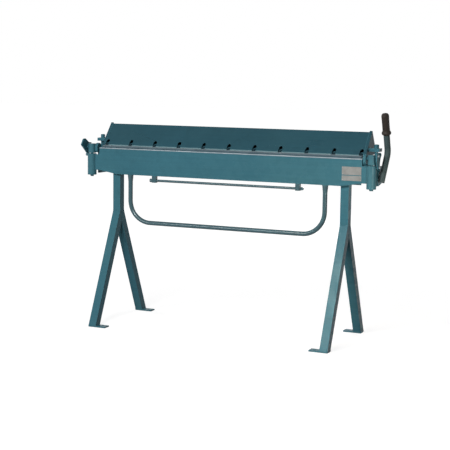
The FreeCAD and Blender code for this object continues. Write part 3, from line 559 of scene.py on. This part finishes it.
def make_welds():
    """Weld beads along the seams, one piece for each body."""
    rng = random.Random(7)
    fixed, leaf, clamp, lever = (bmesh.new() for _ in range(4))
    half_tube = TUBE / 2
    near, far = POST_X - half_tube, POST_X + half_tube
    sleeve_edge = SLEEVE_X - math.sqrt(SLEEVE_R ** 2 - (LEAF_THICK / 2) ** 2)
    lug_bottom = BED - 34
    ridge_y, ridge_z = RIDGE[0] + 3.2, RIDGE[1] - 2.2
    for sign in SIDES.values():
        corners = [(sign * near, -half_tube, SPLAY), (sign * far, -half_tube, SPLAY),
                   (sign * far, half_tube, SPLAY), (sign * near, half_tube, SPLAY)]
        add_bead(fixed, corners, 1.5, rng, closed=True)
        for x in (near, far):
            add_bead(fixed, [(sign * x, 0, SPLAY - 1), (sign * x, 0, CROTCH + 2)], 1.5, rng)
        for way in (-1, 1):
            inner, outer = way * LEG_INNER, way * LEG_OUTER
            loop = [(sign * near, inner, FOOT_THICK), (sign * far, inner, FOOT_THICK),
                    (sign * far, outer, FOOT_THICK), (sign * near, outer, FOOT_THICK)]
            add_bead(fixed, loop[:3], 2.0, rng)
            add_bead(fixed, [loop[0], loop[3]], 2.0, rng)
        face = sign * END_PLATE_FACE
        add_bead(fixed, [(face, PIVOT_Y + 8, lug_bottom), (face, PIVOT_Y + 70, lug_bottom)], 2.0, rng)
        for y in (LEAF_FRONT, PIVOT_Y):
            x = sign * sleeve_edge
            add_bead(leaf, [(x, y, SLEEVE_WELD_LOW), (x, y, SLEEVE_WELD_TOP)], 1.8, rng)
            for middle, half, radius in ((PULL_BAR_X, 13.1, 1.7), (BRACKET_X, 9.0, 1.6)):
                ends = [(sign * (middle + reach), y, LEAF_BOTTOM) for reach in (-half, half)]
                add_bead(leaf, ends, radius, rng)
        foot = (sign * HALF, SLOPE_FOOT[0] + 1, SLOPE_FOOT[1] + 1)
        add_bead(clamp, [foot, (sign * HALF, *RIDGE)], 1.6, rng)
        face = sign * GUSSET_FACE
        ear = [(face, EAR_FRONT, EAR_LOW), (face, EAR_REAR, EAR_LOW),
               (face, EAR_REAR, EAR_TOP), (face, EAR_FRONT, EAR_TOP)]
        add_bead(clamp, ear, 1.9, rng, closed=True)
    ridge_end = HALF - 1
    add_bead(clamp, [(-ridge_end, ridge_y, ridge_z), (ridge_end, ridge_y, ridge_z)], 1.4, rng, 5.2)
    tube_side = LEVER_PLATE_FACE + 0.6
    add_bead(lever, [(tube_side, PIVOT_Y + 40, 695), (tube_side, PIVOT_Y + 56, 745)], 2.2, rng)
    for name, bm, body in (("frame_welds", fixed, "frame"), ("leaf_welds", leaf, "leaf"),
                           ("clamp_welds", clamp, "clamp"), ("lever_welds", lever, "lever")):
        add_object(name, bm, PAINT, body)


# Stage


def white_rays(tree):
    """1 for the camera's, glossy and transmission rays, 0 for those that carry light."""
    rays = tree.nodes.new("ShaderNodeLightPath")
    seen = rays.outputs["Is Camera Ray"]
    for kind in ("Is Glossy Ray", "Is Transmission Ray"):
        either = tree.nodes.new("ShaderNodeMath")
        either.operation = "MAXIMUM"
        tree.links.new(seen, either.inputs[0])
        tree.links.new(rays.outputs[kind], either.inputs[1])
        seen = either.outputs[0]
    return seen


def fade_from(tree, value, low, high, start, end):
    """Maps low to high onto start to end, and holds the ends."""
    fade = tree.nodes.new("ShaderNodeMapRange")
    for key, number in (("From Min", low), ("From Max", high), ("To Min", start), ("To Max", end)):
        fade.inputs[key].default_value = number
    tree.links.new(value, fade.inputs["Value"])
    return fade.outputs["Result"]


def make_floor():
    """A pale floor that keeps a faint shadow near the machine and turns white four metres away."""
    bm = bmesh.new()
    bmesh.ops.create_grid(bm, x_segments=1, y_segments=1, size=30.0)
    mesh = bpy.data.meshes.new("floor")
    bm.to_mesh(mesh)
    bm.free()
    floor = bpy.data.objects.new("floor", mesh)
    bpy.context.scene.collection.objects.link(floor)
    floor.location.z = -0.0005
    material = bpy.data.materials.new("floor")
    material.use_nodes = True
    tree = material.node_tree
    tree.nodes.clear()
    diffuse = tree.nodes.new("ShaderNodeBsdfDiffuse")
    diffuse.inputs["Color"].default_value = rgb(0.3, 0.3, 0.3)
    glow = tree.nodes.new("ShaderNodeEmission")
    place = tree.nodes.new("ShaderNodeTexCoord")
    reach = tree.nodes.new("ShaderNodeVectorMath")
    reach.operation = "LENGTH"
    both = tree.nodes.new("ShaderNodeAddShader")
    choose = tree.nodes.new("ShaderNodeMixShader")
    out = tree.nodes.new("ShaderNodeOutputMaterial")
    link = tree.links.new
    link(place.outputs["Object"], reach.inputs[0])
    link(fade_from(tree, reach.outputs["Value"], 1.0, 4.0, 0.83, 1.0), glow.inputs["Strength"])
    link(diffuse.outputs[0], both.inputs[0])
    link(glow.outputs[0], both.inputs[1])
    link(white_rays(tree), choose.inputs[0])
    link(diffuse.outputs[0], choose.inputs[1])
    link(both.outputs[0], choose.inputs[2])
    link(choose.outputs[0], out.inputs["Surface"])
    mesh.materials.append(material)


def make_world():
    """White to the camera and in reflections; a soft dome, dimmer overhead, for the light."""
    world = bpy.data.worlds.new("studio")
    bpy.context.scene.world = world
    world.use_nodes = True
    tree = world.node_tree
    tree.nodes.clear()
    link = tree.links.new
    place = tree.nodes.new("ShaderNodeTexCoord")
    parts = tree.nodes.new("ShaderNodeSeparateXYZ")
    dome = tree.nodes.new("ShaderNodeBackground")
    white = tree.nodes.new("ShaderNodeBackground")
    choose = tree.nodes.new("ShaderNodeMixShader")
    out = tree.nodes.new("ShaderNodeOutputWorld")
    white.inputs["Color"].default_value = rgb(1.0, 1.0, 1.0)
    dome.inputs["Color"].default_value = rgb(1.0, 1.0, 1.0)
    link(place.outputs["Generated"], parts.inputs[0])
    link(fade_from(tree, parts.outputs["Z"], 0.0, 0.9, 0.06, 0.03), dome.inputs["Strength"])
    link(white_rays(tree), choose.inputs[0])
    link(dome.outputs[0], choose.inputs[1])
    link(white.outputs[0], choose.inputs[2])
    link(choose.outputs[0], out.inputs["Surface"])


def make_lamp(name, place, target, size, power, spread=180.0, tint=(1.0, 1.0, 1.0)):
    """A square soft light that looks at a target, all in metres."""
    data = bpy.data.lights.new(name, "AREA")
    data.shape = "SQUARE"
    data.size = size
    data.energy = power
    data.spread = math.radians(spread)
    data.color = tint
    lamp = bpy.data.objects.new(name, data)
    bpy.context.scene.collection.objects.link(lamp)
    lamp.location = place
    look = Vector(target) - Vector(place)
    lamp.rotation_euler = look.to_track_quat("-Z", "Y").to_euler()


def make_camera():
    """The photograph's view."""
    yaw, pitch, roll = (math.radians(angle) for angle in VIEW_ANGLES)
    flat = math.cos(pitch)
    forward = Vector((-math.sin(yaw) * flat, math.cos(yaw) * flat, -math.sin(pitch)))
    level = Vector((math.cos(yaw), math.sin(yaw), 0))
    up = level.cross(forward)
    right = level * math.cos(roll) + up * math.sin(roll)
    above = up * math.cos(roll) - level * math.sin(roll)
    data = bpy.data.cameras.new("camera")
    data.sensor_width = 36.0
    data.lens = VIEW_LENS
    camera = bpy.data.objects.new("camera", data)
    bpy.context.scene.collection.objects.link(camera)
    turn = Matrix((right, above, -forward)).transposed().to_4x4()
    camera.matrix_world = Matrix.Translation(VIEW_PLACE) @ turn
    bpy.context.scene.camera = camera


make_camera()
make_world()
make_floor()
# Four wide lamps, and two narrow warm ones for the highlights at the right end.
make_lamp("key", (0.2, -4.1, 2.3), (0, 0, 0.6), 1.3, 142.0)
make_lamp("left", (-1.6, -3.6, 1.9), (0, 0, 0.5), 1.3, 60.0)
make_lamp("glare", (-0.35, -2.2, 1.8), (0.54, -0.13, 0.2), 0.6, 0.95, 26.0, (1.0, 0.84, 0.70))
make_lamp("side", (2.1, -1.3, 0.5), (0.67, -0.03, 0.67), 0.25, 0.14, 12.0, (1.0, 0.95, 0.86))
make_lamp("back", (0.4, 3.9, 2.0), (0, 0, 0.6), 1.3, 50.0)
make_lamp("end", (-3.9, 0.7, 1.6), (0, 0, 0.6), 1.3, 40.0)
dress_nodes()
make_notch_bolts()
make_end_bolts()
make_name_plates()
make_sleeves()
make_grip()
make_welds()

bpy.context.scene.view_settings.view_transform = "Standard"
